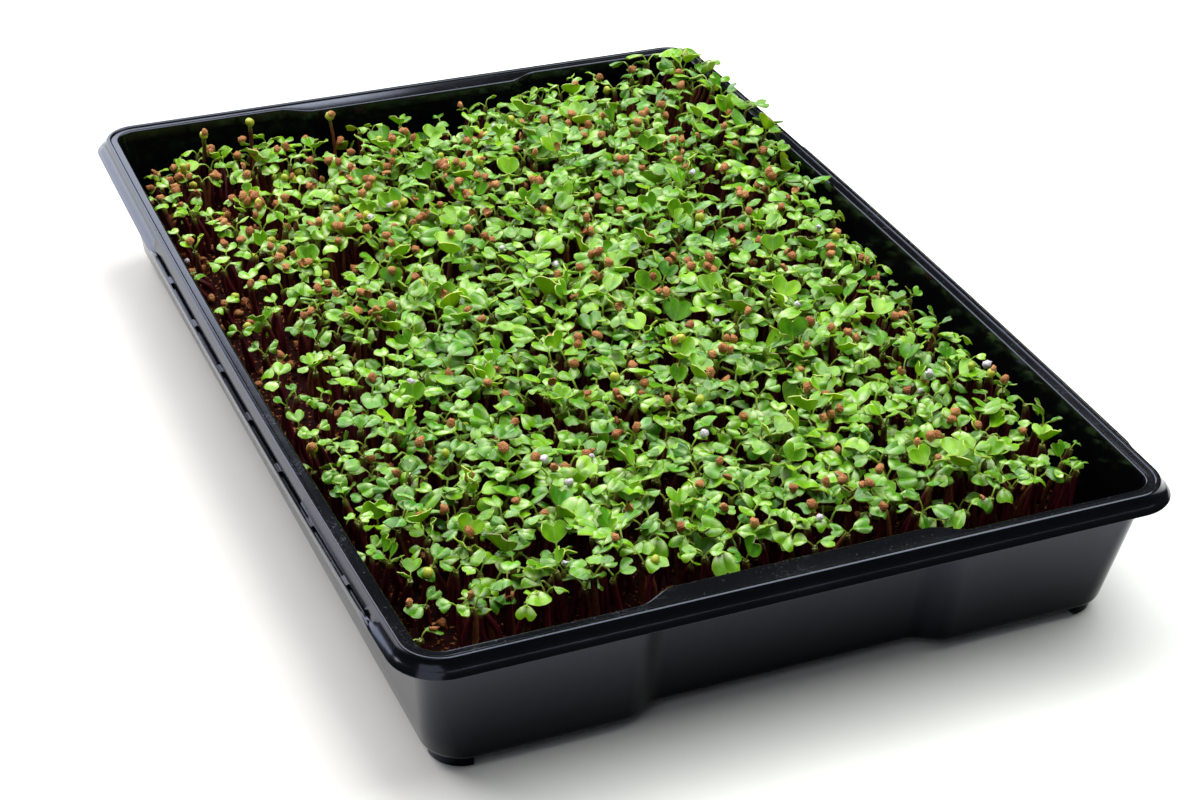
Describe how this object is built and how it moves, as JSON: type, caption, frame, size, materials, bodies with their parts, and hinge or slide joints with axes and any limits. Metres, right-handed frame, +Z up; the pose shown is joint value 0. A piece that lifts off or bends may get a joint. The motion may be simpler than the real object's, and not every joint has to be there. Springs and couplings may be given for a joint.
{
  "type": "radish microgreens tray",
  "caption": "Flat moulded seed tray filled with growing medium and a dense crop of radish microgreens on thin stems.",
  "frame": {"origin": "on the ground under the middle of the tray", "axes": "+Y along the tray's long side, +X along its short side, +Z up"},
  "size_m": [0.2564, 0.3628, 0.058],
  "materials": {
    "tray_plastic": "glossy black moulded polystyrene with dust and dried water marks",
    "growing_medium": "damp dark peat and coir with orange-brown fibres",
    "seedlings": "waxy green seed leaves on thin crimson stems",
    "stems": "smooth crimson and brown stems",
    "seed_coats": "matt brown papery seed coats",
    "pale_grains": "pale perlite grains"
  },
  "bodies": {
    "root": {"tray": "tray_plastic", "growing_medium": "growing_medium", "greens_front_left": "seedlings", "greens_front_right": "seedlings", "greens_middle_left": "seedlings", "greens_middle_right": "seedlings", "greens_back_left": "seedlings", "greens_back_right": "seedlings"}
  },
  "joints": []
}
